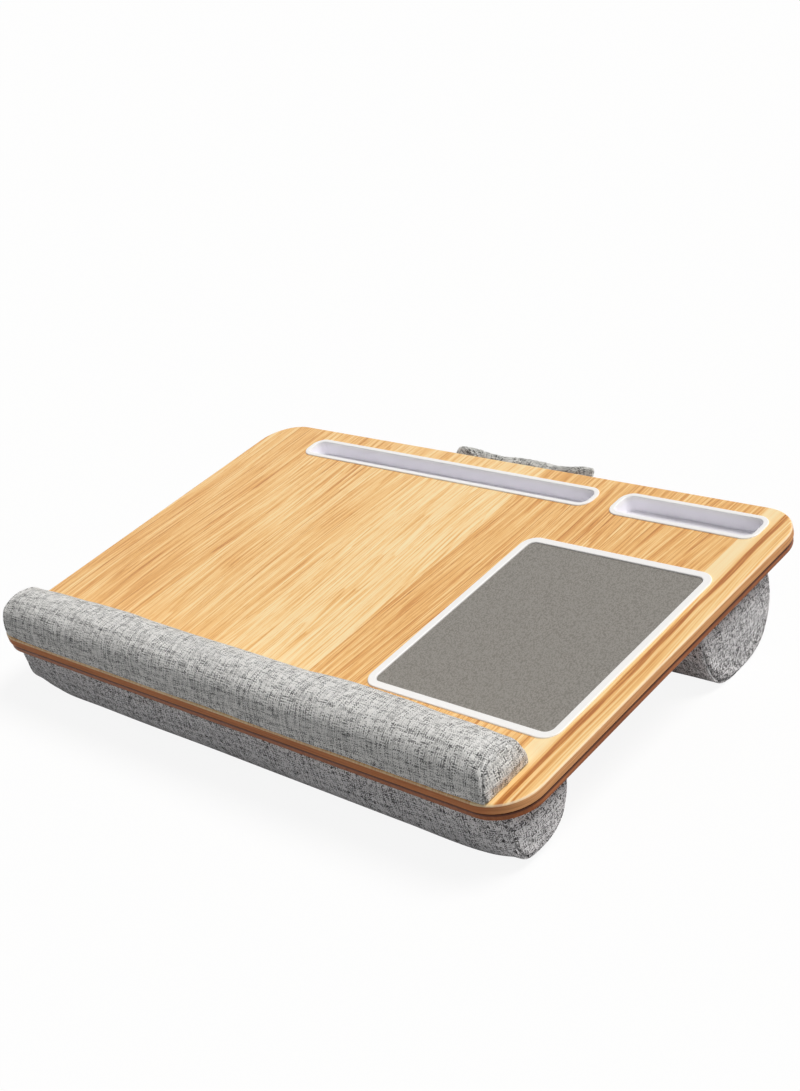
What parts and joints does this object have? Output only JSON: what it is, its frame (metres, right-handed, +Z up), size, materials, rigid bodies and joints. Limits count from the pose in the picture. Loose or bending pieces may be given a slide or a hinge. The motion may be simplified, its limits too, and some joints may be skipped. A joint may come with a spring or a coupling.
{
  "type": "lap desk",
  "caption": "Leaning board on two stuffed bolsters, with wrist rest, inset mouse pad, phone tray, tablet tray and a fabric carry strap.",
  "frame": {"origin": "centre of the footprint of the whole part, at the floor under the bolsters", "axes": "+X to the right along the width, +Y from the front edge with the wrist rest to the back edge with the carry strap, +Z up"},
  "size_m": [0.52, 0.3544, 0.087],
  "materials": {
    "board_wood": "satin",
    "base_wood": "matte",
    "strip_wood": "matte",
    "white_plastic": "satin",
    "pad_leather": "matte",
    "pad_backing": "matte",
    "grey_fabric": "matte",
    "strap_fabric": "matte",
    "foam": "matte",
    "tape": "matte",
    "screw_steel": "satin",
    "staple_steel": "satin"
  },
  "bodies": {
    "desk": {"top_board": "board_wood", "base_board": "base_wood", "board_screws": "screw_steel", "pad_frame": "white_plastic", "pad_leather": "pad_leather", "pad_backing": "pad_backing", "phone_tray": "white_plastic", "tablet_tray": "white_plastic", "wrist_rest_cover": "grey_fabric", "wrist_rest_foam": "foam", "wrist_rest_strip": "strip_wood", "wrist_rest_staples": "staple_steel", "wrist_rest_tape": "tape", "front_bolster_cover": "grey_fabric", "front_bolster_filling": "foam", "front_bolster_ply": "strip_wood", "front_bolster_staples": "staple_steel", "rear_bolster_cover": "grey_fabric", "rear_bolster_filling": "foam", "rear_bolster_ply": "strip_wood", "rear_bolster_staples": "staple_steel", "bolster_screws": "screw_steel", "strap_tabs": "strap_fabric", "strap_washers": "screw_steel", "strap_screws": "screw_steel"},
    "strap": {"carry_strap": "strap_fabric"}
  },
  "joints": [
    {"name": "strap_fold", "type": "hinge", "parent": "desk", "child": "strap", "pos_m": [0, 0.15706, 0.06694], "axis": [1, 0, 0], "range_deg": [-70, 50], "stiffness_Nm_per_rad": 0.05}
  ]
}
